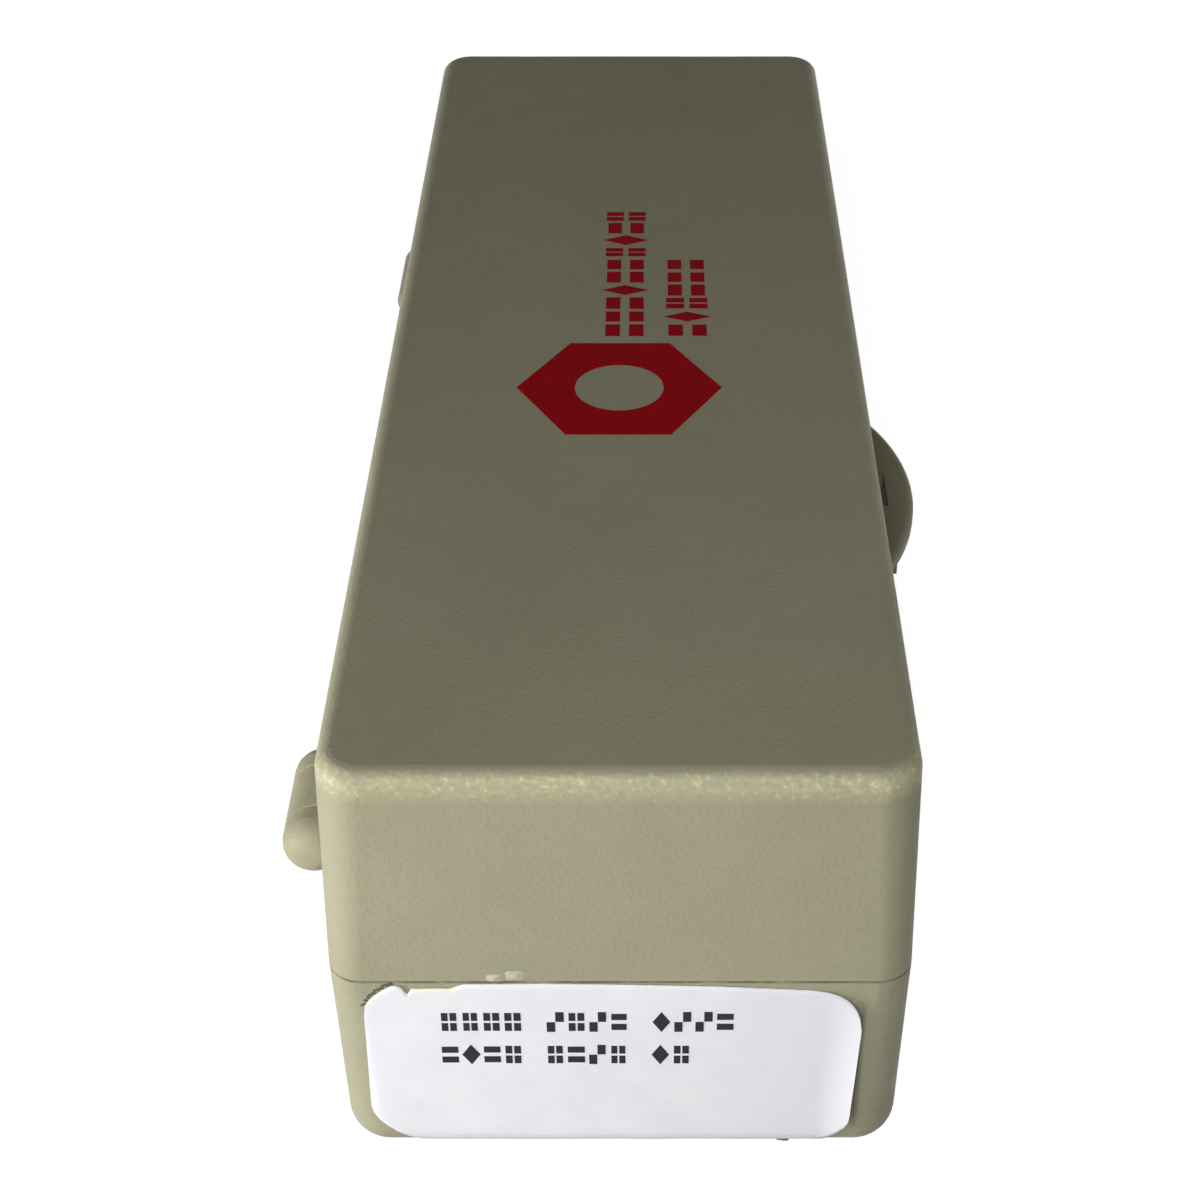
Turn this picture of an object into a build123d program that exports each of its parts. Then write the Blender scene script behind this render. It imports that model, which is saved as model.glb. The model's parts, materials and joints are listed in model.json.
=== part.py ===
# A hinged, moulded case for a plug gauge, with its foam inserts and a single-ended pin gauge.
# Millimetres, +Z up. The origin is the middle of the base's underside. The label end faces -Y,
# the two hinges are on -X, and the thumb tab and its catch are on +X.
import os
from math import cos, radians, tan

from build123d import *

# Case halves
case_width = 58.0
case_length = 171.0
base_height = 25.4
lid_height = 26.1
base_draft = 0.5
lid_draft = 1.4
rim_corner = 3.5
base_end_corner = 4.8
lid_end_corner = 4.2
base_edge_radius = 3.3
lid_edge_radius = 1.8
rim_bevel = 0.2
least_corner = 0.4
wall = 2.0
base_floor = 2.0
lid_roof = 2.0

# Tongue and groove along the parting line
lip_height = 1.4
lip_thickness = 0.9
lip_gap = 0.3

# Hinges; the rear one is the slimmer, on the same axis
hinge_from_end = 25.6
front_hinge_radius = 3.3
rear_hinge_radius = 2.0
front_dome_radius = 2.7
rear_dome_radius = 1.5
hinge_gap = 0.3
ear_length = 4.3
knuckle_length = 6.5
web_rise = 4.5
pin_radius = 1.0
pin_gap = 0.05
blind_wall = 1.5

# Thumb tab and snap tongue on the lid, catch lip on the base
tab_reach = 7.7
tab_curve = 34.0
tab_shift = -1.8
tab_thickness = 2.6
tab_gap = 0.4
tab_edge = 0.9
catch_reach = 3.3
catch_thickness = 2.8
tongue_width = 14.0
tongue_thickness = 1.3
tongue_drop = 5.9
barb_depth = 0.7
barb_height = 1.4
barb_width = 8.0
catch_gap = 0.3
window_clearance = 0.5

# Label on the front end
label_left = -25.3
label_right = 24.0
label_bottom = 0.5
label_margin = 0.1
label_corner = 3.5
label_thickness = 0.2

# Foam
foam_gap = 0.3
nest_thickness = 9.0
foam_depth = 0.8

# Gauge
handle_flats = 9.5
handle_length = 64.0
handle_turning = 0.25
spigot_radius = 3.4
spigot_length = 7.0
collet_bore_radius = 2.4
collet_bore_depth = 13.0
nut_length = 9.5
nut_nose_length = 3.0
nut_shoulder_radius = 4.4
nut_nose_radius = 3.3
nut_mouth_radius = 1.75
collet_length = 14.0
collet_nose = 1.2
slit_width = 0.5
slit_length = 9.0
go_pin_radius = 1.3335
go_pin_length = 50.8
go_pin_reach = 30.0
pin_end_bevel = 0.2
gauge_fit = 0.05
gauge_shift = 15.0

# Finger scoops and pin slot in the nest
scoop_radius = 10.0
nest_gap = 0.4
pin_slot_width = 6.0
pin_slot_end_gap = 4.0

# Places worked out from the sizes above
parting = base_height
case_height = base_height + lid_height
wall_x = case_width / 2
wall_y = case_length / 2
hinge_x = -(wall_x + max(front_hinge_radius, rear_hinge_radius) + hinge_gap)
foam_top = parting - foam_depth
nest_floor = foam_top - nest_thickness
handle_radius = handle_flats / 2
gauge_z = nest_floor + handle_radius
lid_foam_face = gauge_z + handle_radius + foam_gap
corner_radius = handle_radius / cos(radians(30))


# Outline of the case at one height: both halves lean in, away from the parting line
def section(height, inset=0.0):
    if height < parting:
        depth, full_depth = parting - height, base_height
        draft, end_corner = base_draft, base_end_corner
    else:
        depth, full_depth = height - parting, lid_height
        draft, end_corner = lid_draft, lid_end_corner
    lean = depth * tan(radians(draft))
    corner = rim_corner + (end_corner - rim_corner) * depth / full_depth - inset
    return Plane.XY.offset(height) * RectangleRounded(
        case_width - 2 * (inset + lean), case_length - 2 * (inset + lean), max(corner, least_corner)
    )


# Block that fills the case between two heights, at one distance inside its outer skin
def case_block(near, far, inset=0.0, edge_radius=0.0, near_bevel=0.0):
    outlines = [section(near, inset + near_bevel), section(far, inset)]
    if near_bevel > 0:
        step = near_bevel if far > near else -near_bevel
        outlines.insert(1, section(near + step, inset))
    block = loft(outlines, ruled=True)
    if edge_radius > 0:
        block = fillet(block.edges().filter_by_position(Axis.Z, far, far), edge_radius)
    return block


# Box between two corners
def box(low, high):
    size = [top - bottom for bottom, top in zip(low, high)]
    return Pos(*low) * Box(*size, align=(Align.MIN, Align.MIN, Align.MIN))


# Cylinder along Y between two stations
def rod(x, z, radius, start, end):
    return Pos(x, (start + end) / 2, z) * Rot(90, 0, 0) * Cylinder(radius, end - start)


# Radius of one hinge's barrel and of its domes; side is -1 at the front and 1 at the rear
def hinge_radii(side):
    return (front_hinge_radius, front_dome_radius) if side < 0 else (rear_hinge_radius, rear_dome_radius)


# Web that runs from a hinge barrel up (or down) the wall, between two stations
def hinge_web(radius, start, end, rise):
    seat_x = -wall_x + wall / 2
    outline = make_hull(
        (Pos(hinge_x, parting) * Circle(radius)).edges()
        + [Edge.make_line((seat_x, parting), (seat_x, parting + rise))]
    )
    low, high = sorted((parting, parting + 2 * rise))
    half = Pos(hinge_x, (low + high) / 2) * Rectangle(2 * (seat_x - hinge_x + radius), high - low)
    web = extrude(Plane.XZ * (outline & half), (end - start) / 2, both=True)
    return Pos(0, (start + end) / 2, 0) * web


# Ear of the base: its outer end is a dome, as the photo shows at the front hinge
def hinge_ear(side, inner, outer):
    radius, dome = hinge_radii(side)
    barrel = rod(hinge_x, parting, radius, *sorted((inner, outer)))
    rims = barrel.edges().filter_by(GeomType.CIRCLE).sort_by(Axis.Y)
    rim, web_outer = (rims[-1], outer - dome) if outer > inner else (rims[0], outer + dome)
    return fillet(rim, dome) + hinge_web(radius, *sorted((inner, web_outer)), -web_rise)


# Stations along Y of one hinge
def hinge_stations(side):
    middle = side * (wall_y - hinge_from_end)
    knuckle = knuckle_length / 2
    outer = knuckle + hinge_gap + ear_length
    return middle, knuckle, outer


# Bore for one hinge pin, closed at the outer end of the hinge
def hinge_bore(side, radius, spare=0.0):
    middle, _, outer = hinge_stations(side)
    closed = middle + side * (outer - blind_wall)
    opened = middle - side * (outer + spare)
    return rod(hinge_x, parting, radius, *sorted((closed, opened)))


# Crescent that stands out of the right wall, between two heights
def crescent(reach, low, high):
    disc = Pos(wall_x + reach - tab_curve, tab_shift) * Circle(tab_curve)
    keep = Pos(wall_x + tab_curve - wall / 2, tab_shift) * Rectangle(2 * tab_curve, 2 * tab_curve)
    return extrude(Plane.XY.offset(low) * (disc & keep), high - low)


def make_base_shell():
    outer = case_block(parting, 0, 0, base_edge_radius, rim_bevel)
    cavity = case_block(parting, base_floor, wall, base_edge_radius - wall)
    shell = outer - cavity
    lip = section(parting, wall - lip_thickness) - section(parting, wall)
    shell += extrude(lip, lip_height)
    for side in (-1, 1):
        middle, knuckle, outer_end = hinge_stations(side)
        for way in (-1, 1):
            inner = middle + way * (knuckle + hinge_gap)
            end = middle + way * outer_end
            shell += hinge_ear(side, inner, end)
        shell -= hinge_bore(side, pin_radius + pin_gap, spare=hinge_gap)
    catch_top = parting - tab_gap
    catch = crescent(catch_reach, catch_top - catch_thickness, catch_top)
    tip = catch.edges().filter_by(GeomType.CIRCLE)
    shell += fillet(tip, tab_edge)
    return shell - case_block(parting, base_floor, wall, base_edge_radius - wall)


def make_lid_shell():
    shell = case_block(parting, case_height, 0, lid_edge_radius, rim_bevel)
    shell -= case_block(parting, case_height - lid_roof, wall)
    groove = section(parting, wall - lip_thickness - lip_gap)
    shell -= extrude(groove, lip_height + lip_gap)
    for side in (-1, 1):
        middle, knuckle, _ = hinge_stations(side)
        start, end = middle - knuckle, middle + knuckle
        radius, _ = hinge_radii(side)
        shell += rod(hinge_x, parting, radius, start, end)
        shell += hinge_web(radius, start, end, web_rise)
        shell -= hinge_bore(side, pin_radius + pin_gap, spare=hinge_gap)
    shell += make_snap_tab()
    shell -= extrude(groove, lip_height + lip_gap)
    return shell - case_block(parting, case_height - lid_roof, wall)


# Thumb tab with the tongue that snaps under the catch lip, and the moulding window above its barb
def make_snap_tab():
    low = parting + tab_gap
    high = low + tab_thickness
    tab = crescent(tab_reach, low, high)
    tab = fillet(tab.edges().filter_by(GeomType.CIRCLE), tab_edge)
    barb_x = wall_x + catch_reach + catch_gap
    inner_x = barb_x + barb_depth
    outer_x = inner_x + tongue_thickness
    barb_top = parting - tab_gap - catch_thickness - catch_gap
    bottom = low - tongue_drop
    tongue = box(
        (inner_x, tab_shift - tongue_width / 2, bottom),
        (outer_x, tab_shift + tongue_width / 2, high - tab_edge),
    )
    hook = Polyline(
        (inner_x, barb_top), (barb_x, barb_top), (barb_x, barb_top - barb_height), (inner_x, bottom),
        close=True,
    )
    barb = extrude(Plane.XZ * make_face(hook), barb_width / 2, both=True)
    window = box(
        (barb_x - window_clearance, tab_shift - barb_width / 2, low - tab_thickness),
        (inner_x, tab_shift + barb_width / 2, high + tab_thickness),
    )
    return tab - window + tongue + Pos(0, tab_shift, 0) * barb


def make_hinge_pin(side):
    return hinge_bore(side, pin_radius)


def make_size_label():
    skin = case_block(parting, -label_thickness, -label_thickness, base_edge_radius + label_thickness)
    skin -= case_block(parting, 0, 0, base_edge_radius)
    top = parting - label_margin
    outline = Pos((label_left + label_right) / 2, (label_bottom + top) / 2) * RectangleRounded(
        label_right - label_left, top - label_bottom, label_corner
    )
    reach = 2 * base_edge_radius
    cutter = Pos(0, -wall_y, 0) * extrude(Plane.XZ * outline, reach / 2, both=True)
    return skin & cutter


def make_base_foam_floor():
    edge = base_edge_radius - wall - foam_gap
    return case_block(nest_floor, base_floor, wall + foam_gap, edge)


def make_base_foam_nest():
    sheet = case_block(foam_top, nest_floor, wall + foam_gap)
    handle_end = handle_length / 2 + nut_length + collet_nose + nest_gap
    width = 2 * (corner_radius + nest_gap)
    slot = Pos(0, gauge_shift) * Rectangle(width, 2 * handle_end)
    pin_end = gauge_shift - handle_end - go_pin_reach - pin_slot_end_gap
    slot += Pos(0, (gauge_shift + pin_end) / 2) * Rectangle(pin_slot_width, gauge_shift - pin_end)
    slot += Pos(0, pin_end) * Circle(pin_slot_width / 2)
    for side in (-1, 1):
        slot += Pos(side * width / 2, gauge_shift) * Circle(scoop_radius)
    return sheet - extrude(Plane.XY.offset(nest_floor) * slot, nest_thickness)


def make_lid_foam():
    return case_block(lid_foam_face, case_height - lid_roof, wall + foam_gap)


# Solid turned about the gauge's axis, from (radius, station) points; stations run along +Y
def turned(points):
    face = make_face(Polyline(*points, close=True))
    return revolve(Plane.XY * face, Axis.Y)


# Hexagonal bar between two stations, with the corners of both ends turned off
def hex_bar(start, end):
    bar = RegularPolygon(handle_radius, 6, major_radius=False)
    bar = extrude(Plane.XZ * bar, (end - start) / 2, both=True)
    envelope = Rot(90, 0, 0) * Cylinder(corner_radius, end - start)
    envelope = chamfer(envelope.edges(), corner_radius - handle_radius + handle_turning)
    return Pos(0, (start + end) / 2, 0) * (bar & envelope)


# The gauge is modelled about the Y axis, with its gauging end towards -Y, and then laid in its nest
def lay(piece):
    return Pos(0, gauge_shift, gauge_z) * piece


def make_gauge_handle():
    half = handle_length / 2
    handle = hex_bar(-half, half)
    handle += rod(0, 0, spigot_radius, -half - spigot_length, half + spigot_length)
    for side in (-1, 1):
        mouth = side * (half + spigot_length)
        floor = mouth - side * collet_bore_depth
        handle -= rod(0, 0, collet_bore_radius, *sorted((mouth, floor)))
    inner_end = half + nut_length + go_pin_reach - go_pin_length
    handle -= rod(0, 0, go_pin_radius + gauge_fit, -half - spigot_length, -inner_end + gauge_fit)
    return handle


# Collet nut, screwed on the spigot at one end of the handle
def make_nut(side):
    half = handle_length / 2
    start, end = half, half + nut_length
    hex_end = end - nut_nose_length
    nut = hex_bar(start, hex_end)
    nut += turned(
        [(0, start), (nut_shoulder_radius, start), (nut_shoulder_radius, hex_end),
         (nut_nose_radius, end), (0, end)]
    )
    nut -= rod(0, 0, spigot_radius + gauge_fit, start, start + spigot_length + gauge_fit)
    nut -= rod(0, 0, nut_mouth_radius + gauge_fit, start, end)
    return nut if side > 0 else mirror(nut, Plane.XZ)


# Split collet: a sleeve in the handle's bore whose nose passes through the nut's mouth
def make_collet(side):
    end = handle_length / 2 + nut_length + collet_nose
    shoulder = handle_length / 2 + spigot_length
    start = end - collet_length
    body = collet_bore_radius - gauge_fit
    collet = turned(
        [(go_pin_radius + gauge_fit / 2, start), (body, start), (body, shoulder),
         (nut_mouth_radius, shoulder), (nut_mouth_radius, end), (go_pin_radius + gauge_fit / 2, end)]
    )
    slit = box(
        (-2 * body, end - slit_length, -slit_width / 2), (2 * body, end + slit_width, slit_width / 2)
    )
    collet -= slit
    collet -= Rot(0, 90, 0) * slit
    return collet if side > 0 else mirror(collet, Plane.XZ)


def make_go_pin():
    tip = -(handle_length / 2 + nut_length + go_pin_reach)
    pin = rod(0, 0, go_pin_radius, tip, tip + go_pin_length)
    return chamfer(pin.edges().filter_by(GeomType.CIRCLE), pin_end_bevel)


parts = {
    "base_shell": make_base_shell(),
    "lid_shell": make_lid_shell(),
    "front_hinge_pin": make_hinge_pin(-1),
    "rear_hinge_pin": make_hinge_pin(1),
    "size_label": make_size_label(),
    "base_foam_floor": make_base_foam_floor(),
    "base_foam_nest": make_base_foam_nest(),
    "lid_foam": make_lid_foam(),
    "gauge_handle": lay(make_gauge_handle()),
    "go_nut": lay(make_nut(-1)),
    "blank_nut": lay(make_nut(1)),
    "go_collet": lay(make_collet(-1)),
    "blank_collet": lay(make_collet(1)),
    "go_pin": lay(make_go_pin()),
}

os.makedirs("parts", exist_ok=True)
for name, piece in parts.items():
    export_step(piece, f"parts/{name}.step")
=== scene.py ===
# Looks for the hinged gauge case: grained beige plastic, torn paper label, foam inserts and a pin gauge
import bpy
import bmesh
import json
import math
import random
from mathutils import Matrix, Vector, noise
from mathutils.bvhtree import BVHTree


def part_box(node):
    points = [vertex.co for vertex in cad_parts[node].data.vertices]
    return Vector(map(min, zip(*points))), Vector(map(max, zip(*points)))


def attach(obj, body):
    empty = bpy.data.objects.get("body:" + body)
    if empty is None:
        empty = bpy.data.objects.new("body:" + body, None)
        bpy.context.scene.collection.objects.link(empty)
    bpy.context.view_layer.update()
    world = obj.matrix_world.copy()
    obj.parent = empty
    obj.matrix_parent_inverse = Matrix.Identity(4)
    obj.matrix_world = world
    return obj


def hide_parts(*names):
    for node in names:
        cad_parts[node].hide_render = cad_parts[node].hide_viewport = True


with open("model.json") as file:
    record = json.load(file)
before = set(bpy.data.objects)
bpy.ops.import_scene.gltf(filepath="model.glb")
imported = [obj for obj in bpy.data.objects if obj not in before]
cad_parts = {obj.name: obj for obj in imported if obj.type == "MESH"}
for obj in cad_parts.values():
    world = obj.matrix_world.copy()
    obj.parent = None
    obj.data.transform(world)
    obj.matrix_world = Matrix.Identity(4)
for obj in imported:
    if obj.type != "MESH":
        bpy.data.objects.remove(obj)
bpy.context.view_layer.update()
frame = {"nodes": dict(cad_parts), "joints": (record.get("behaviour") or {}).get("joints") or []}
nodes = frame["nodes"]

mm = 0.001
sameSpot = 0.001 * mm
hinge = Vector(frame["joints"][0]["pos_m"])
parting = hinge.z
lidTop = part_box("lid_shell")[1].z
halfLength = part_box("base_shell")[1].y
halfWidth = 29.0 * mm
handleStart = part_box("gauge_handle")[0].y

# Camera as the photograph was taken: above the label end, looking down along the case
cameraLook = {
    "lens": 65.7,
    "sensor": 36.0,
    "nearest": 0.01,
    "place": (2.67 * mm, -236.8 * mm, 183.1 * mm),
    "pitch": 36.28,
    "shiftX": -0.0393,
}

# A high lamp at the label end, a low one near the left corner and a weak one between them, as in the photograph;
# a weak low lamp behind keeps the far sides from going black
studio = {
    "target": (0, 0, 0.03),
    "highPlace": (-0.05, -0.45, 0.30),
    "highSize": 0.16,
    "highPower": 1.5,
    "nearPlace": (-0.22, -0.15, 0.02),
    "nearSize": 0.08,
    "nearPower": 0.54,
    "sidePlace": (-0.38, -0.40, 0.08),
    "sideSize": 0.16,
    "sidePower": 0.28,
    "backPlace": (0.32, 0.28, 0.03),
    "backSize": 0.05,
    "backPower": 0.45,
    "worldGrey": 0.04,
    "horizon": (0.05, 0.35),
    "overhead": 0.3,
    "floorGlow": 0.95,
    "floorGrey": 0.22,
    "floorRoughness": 0.9,
    "floorSize": 6.0,
}


# An object linked to the scene
def addObject(name, data):
    obj = bpy.data.objects.new(name, data)
    bpy.context.scene.collection.objects.link(obj)
    return obj


# A plain mesh from a bmesh, which is freed
def meshFrom(shape, name):
    mesh = bpy.data.meshes.new(name)
    shape.to_mesh(mesh)
    shape.free()
    return mesh


# An input set to a plain value or linked to another node's socket
def setInput(tree, socket, value):
    if isinstance(value, bpy.types.NodeSocket):
        tree.links.new(value, socket)
    else:
        socket.default_value = value


# One node of a tree, with its settings and its inputs
def addNode(tree, kind, inputs=None, **settings):
    node = tree.nodes.new(kind)
    for key, value in settings.items():
        setattr(node, key, value)
    for key, value in (inputs or {}).items():
        setInput(tree, node.inputs[key], value)
    return node


def math2(tree, operation, a, b=0.0, clamp=False):
    return addNode(tree, "ShaderNodeMath", {0: a, 1: b}, operation=operation, use_clamp=clamp).outputs[0]


def times(tree, product, *others):
    for other in others:
        product = math2(tree, "MULTIPLY", product, other)
    return product


def minus(tree, a, b):
    return math2(tree, "SUBTRACT", a, b)


def splitAxes(tree, place):
    return addNode(tree, "ShaderNodeSeparateXYZ", {"Vector": place}).outputs


# A value carried from one range to another, kept inside the second
def remap(tree, value, low, high, toLow=0.0, toHigh=1.0):
    inputs = {"Value": value, "From Min": low, "From Max": high, "To Min": toLow, "To Max": toHigh}
    return addNode(tree, "ShaderNodeMapRange", inputs).outputs["Result"]


def mixColour(tree, factor, a, b):
    node = tree.nodes.new("ShaderNodeMix")
    node.data_type = "RGBA"
    sockets = {s.identifier: s for s in node.inputs}
    setInput(tree, sockets["Factor_Float"], factor)
    for key, colour in (("A_Color", a), ("B_Color", b)):
        setInput(tree, sockets[key], (*colour, 1) if isinstance(colour, tuple) else colour)
    return next(s for s in node.outputs if s.identifier == "Result_Color")


# One where a camera, mirror or glass ray looks at the surface, nought where light only bounces off it
def seenDirectly(tree):
    path = tree.nodes.new("ShaderNodeLightPath")
    seen = path.outputs["Is Camera Ray"]
    for other in ("Is Glossy Ray", "Is Transmission Ray"):
        seen = math2(tree, "MAXIMUM", seen, path.outputs[other])
    return seen


def makeCamera(look):
    data = bpy.data.cameras.new("photoCamera")
    data.lens = look["lens"]
    data.sensor_width = look["sensor"]
    data.shift_x = look["shiftX"]
    data.clip_start = look["nearest"]
    cam = addObject("photoCamera", data)
    cam.location = look["place"]
    cam.rotation_euler = (math.radians(90 - look["pitch"]), 0, 0)
    bpy.context.scene.camera = cam


def makeLamp(name, look):
    data = bpy.data.lights.new(name + "Lamp", "AREA")
    data.shape = "DISK"
    data.size = look[name + "Size"]
    data.energy = look[name + "Power"]
    lamp = addObject(name + "Lamp", data)
    lamp.location = look[name + "Place"]
    lamp.visible_camera = False
    lamp.visible_glossy = name != "back"
    lamp.rotation_euler = (Vector(look["target"]) - lamp.location).to_track_quat("-Z", "Y").to_euler()


# White to the camera; in reflections white at the horizon and grey overhead, so that metal has contrast
def makeWorld(look):
    world = bpy.data.worlds.new("studioWorld")
    bpy.context.scene.world = world
    world.use_nodes = True
    tree = world.node_tree
    background = tree.nodes["Background"]
    background.inputs["Color"].default_value = (1, 1, 1, 1)
    direction = tree.nodes.new("ShaderNodeTexCoord").outputs["Generated"]
    overhead = remap(tree, splitAxes(tree, direction)["Z"], *look["horizon"], 1.0, look["overhead"])
    mirrored = times(tree, seenDirectly(tree), overhead)
    camera = tree.nodes.new("ShaderNodeLightPath").outputs["Is Camera Ray"]
    seen = math2(tree, "MAXIMUM", camera, mirrored)
    tree.links.new(math2(tree, "MAXIMUM", seen, look["worldGrey"]), background.inputs["Strength"])


def makeFloor(look):
    half = look["floorSize"] / 2
    mesh = bpy.data.meshes.new("floor")
    mesh.from_pydata([(-half, -half, 0), (half, -half, 0), (half, half, 0), (-half, half, 0)], [], [(0, 1, 2, 3)])
    floor = addObject("floor", mesh)
    mat, tree, shader = newMaterial("floorPaint")
    shader.inputs["Base Color"].default_value = (look["floorGrey"],) * 3 + (1,)
    shader.inputs["Roughness"].default_value = look["floorRoughness"]
    shader.inputs["Emission Color"].default_value = (1, 1, 1, 1)
    glow = remap(tree, seenDirectly(tree), 0, 1, 0, look["floorGlow"])
    tree.links.new(glow, shader.inputs["Emission Strength"])
    mesh.materials.append(mat)


def newMaterial(name):
    mat = bpy.data.materials.new(name)
    mat.use_nodes = True
    return mat, mat.node_tree, mat.node_tree.nodes["Principled BSDF"]


makeCamera(cameraLook)
for lampName in ("high", "near", "side", "back"):
    makeLamp(lampName, studio)
makeWorld(studio)
makeFloor(studio)
print("camera and studio ready")


# A shader group with named inputs, given as name: default value, and named value outputs
def newGroup(name, inputs, outputs):
    group = bpy.data.node_groups.new(name, "ShaderNodeTree")
    for label, default in inputs.items():
        kind = "NodeSocketVector" if label == "Vector" else "NodeSocketFloat"
        socket = group.interface.new_socket(label, in_out="INPUT", socket_type=kind)
        if kind == "NodeSocketFloat":
            socket.default_value = default
    for label in outputs:
        group.interface.new_socket(label, in_out="OUTPUT", socket_type="NodeSocketFloat")
    return group, group.nodes.new("NodeGroupInput").outputs, group.nodes.new("NodeGroupOutput").inputs


# Leather grain of the mould: rounded pebbles with soft creases between them; the bends and the bumps are as fine
# as these shares of the pebbles
grainForm = {"bends": 0.4, "bumps": 0.7, "bumpDetail": 3.0, "smoothness": 0.6, "crease": (0.35, 0.75)}


def makeGrainGroup(p):
    group, given, out = newGroup(
        "leatherGrain", {"Vector": None, "Pebbles per Metre": 1700, "Unevenness": 0.35, "Bend": 0.0006},
        ("Height", "Crease"),
    )
    source, perMetre = given["Vector"], given["Pebbles per Metre"]
    bend = addNode(group, "ShaderNodeTexNoise", {"Vector": source, "Scale": times(group, perMetre, p["bends"])})
    shift = addNode(
        group, "ShaderNodeVectorMath", {0: bend.outputs["Color"], "Scale": given["Bend"]}, operation="SCALE"
    )
    place = addNode(group, "ShaderNodeVectorMath", {0: source, 1: shift.outputs[0]})
    pebble = addNode(
        group, "ShaderNodeTexVoronoi",
        {"Vector": place.outputs[0], "Scale": perMetre, "Smoothness": p["smoothness"]}, feature="SMOOTH_F1",
    )
    crease = remap(group, pebble.outputs["Distance"], *p["crease"])
    rough = addNode(
        group, "ShaderNodeTexNoise",
        {"Vector": source, "Scale": times(group, perMetre, p["bumps"]), "Detail": p["bumpDetail"]},
    )
    bumps = times(group, rough.outputs["Fac"], given["Unevenness"])
    height = math2(group, "ADD", minus(group, 1.0, crease), bumps)
    group.links.new(height, out["Height"])
    group.links.new(crease, out["Crease"])
    return group


# Slow, cloudy change over a surface, between nought and one
def makeCloudGroup():
    group, given, out = newGroup("cloudyTone", {"Vector": None, "Clouds per Metre": 40, "Contrast": 1.5}, ("Tone",))
    cloud = addNode(
        group, "ShaderNodeTexNoise",
        {"Vector": given["Vector"], "Scale": given["Clouds per Metre"], "Detail": 4.0, "Roughness": 0.6},
    )
    spread = times(group, minus(group, cloud.outputs["Fac"], 0.5), given["Contrast"])
    group.links.new(math2(group, "ADD", spread, 0.5, clamp=True), out["Tone"])
    return group


# One on outward edges, where handling rubs the surface
def makeEdgeGroup():
    group, given, out = newGroup("edgeRub", {"Radius": 0.0008, "Reach": 0.12}, ("Edge",))
    soft = addNode(group, "ShaderNodeBevel", {"Radius": given["Radius"]}, samples=4)
    plain = group.nodes.new("ShaderNodeNewGeometry")
    match = addNode(
        group, "ShaderNodeVectorMath", {0: soft.outputs["Normal"], 1: plain.outputs["Normal"]},
        operation="DOT_PRODUCT",
    )
    turn = minus(group, 1.0, match.outputs["Value"])
    group.links.new(math2(group, "DIVIDE", turn, given["Reach"], clamp=True), out["Edge"])
    return group


# Fine lines left by a tool or a belt, where the vector given is stretched, or else fine specks
def makeLineGroup():
    group, given, out = newGroup("toolLines", {"Vector": None, "Lines per Metre": 4000}, ("Lines",))
    lines = addNode(
        group, "ShaderNodeTexNoise", {"Vector": given["Vector"], "Scale": given["Lines per Metre"], "Detail": 2.0}
    )
    group.links.new(lines.outputs["Fac"], out["Lines"])
    return group


effects = {
    "grain": makeGrainGroup(grainForm),
    "clouds": makeCloudGroup(),
    "edge": makeEdgeGroup(),
    "lines": makeLineGroup(),
}


# An effect placed in a material with its own values
def useEffect(tree, effect, inputs=None):
    node = tree.nodes.new("ShaderNodeGroup")
    node.node_tree = effects[effect]
    for key, value in (inputs or {}).items():
        setInput(tree, node.inputs[key], value)
    return node.outputs


def cloudTone(tree, place, perMetre, contrast):
    return useEffect(tree, "clouds", {"Vector": place, "Clouds per Metre": perMetre, "Contrast": contrast})["Tone"]


def fineLines(tree, place, perMetre):
    return useEffect(tree, "lines", {"Vector": place, "Lines per Metre": perMetre})["Lines"]


def objectPlace(tree):
    return tree.nodes.new("ShaderNodeTexCoord").outputs["Object"]


def addBump(tree, shader, height, strength, distance):
    bump = addNode(tree, "ShaderNodeBump", {"Height": height, "Strength": strength, "Distance": distance})
    tree.links.new(bump.outputs["Normal"], shader.inputs["Normal"])


# Grained outside, smoother inside; grain creases painted darker as shade, dirt in the seam, and a painted shadow
# beside the label's lifted edge; the lid's rounded rim polished, with a pale band that is partly rubbed grain tops
# and partly painted highlight, and pale specks painted on as glints
casePlastic = {
    "pale": (0.385, 0.366, 0.252),
    "deep": (0.325, 0.309, 0.206),
    "crease": (0.25, 0.238, 0.155),
    "creaseWeight": 0.16,
    # pale colour of rubbed edges, and of the rim's band, which is partly painted highlight
    "rubbedAndSheen": (0.50, 0.468, 0.285),
    "rubWeight": 0.45,
    # glint: pale specks painted on the rim as painted highlight
    "glint": (0.76, 0.73, 0.52),
    "glintWeight": 0.45,
    "glintSpecks": (0.62, 0.72),
    "rubAndSheenSpecks": (0.35, 0.6),
    "rubAndSheenWeight": (0.3, 0.75),
    "specksPerMetre": 1600,
    "broadClouds": (45, 2.0),
    "patchyClouds": (420, 2.2),
    "patchyShare": 0.25,
    "rimHeight": (3.4 * mm, 1.7 * mm),
    "rimFromEnd": (9 * mm, 3 * mm),
    "rimOnSides": 0.2,
    "rimTilt": (0.72, 0.95),
    # a dark strip beside the label's lifted right edge: painted shadow
    "liftLine": (24.1 * mm, 0.032),
    "liftShadowPaint": 0.7,
    "liftWidth": (0.55 * mm, 0.03),
    "liftSoftness": 0.5 * mm,
    "liftBehind": 2 * mm,
    "liftTop": (2.5 * mm, 5 * mm),
    "liftFoot": (19.5 * mm, 22 * mm),
    "frontDepth": 2 * mm,
    "seamDirtAndShadow": (0.075, 0.07, 0.048),
    "seamWidth": (0.07 * mm, 0.24 * mm),
    "seamPatches": (0.2, 0.7),
    "seamWeight": (0.3, 0.85),
    "seamPastWall": 0.1 * mm,
    "pebblesPerMetre": 2500,
    "grainStrength": 0.3,
    "grainDepth": 0.05 * mm,
    "grainInside": 0.12,
    "roughness": (0.42, 0.6),
    "polished": 0.36,
    "shine": 0.12,
    "skin": 1.2 * mm,
    "corner": 4.2 * mm,
    "leaning": math.tan(math.radians(1.4)),
}


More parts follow.
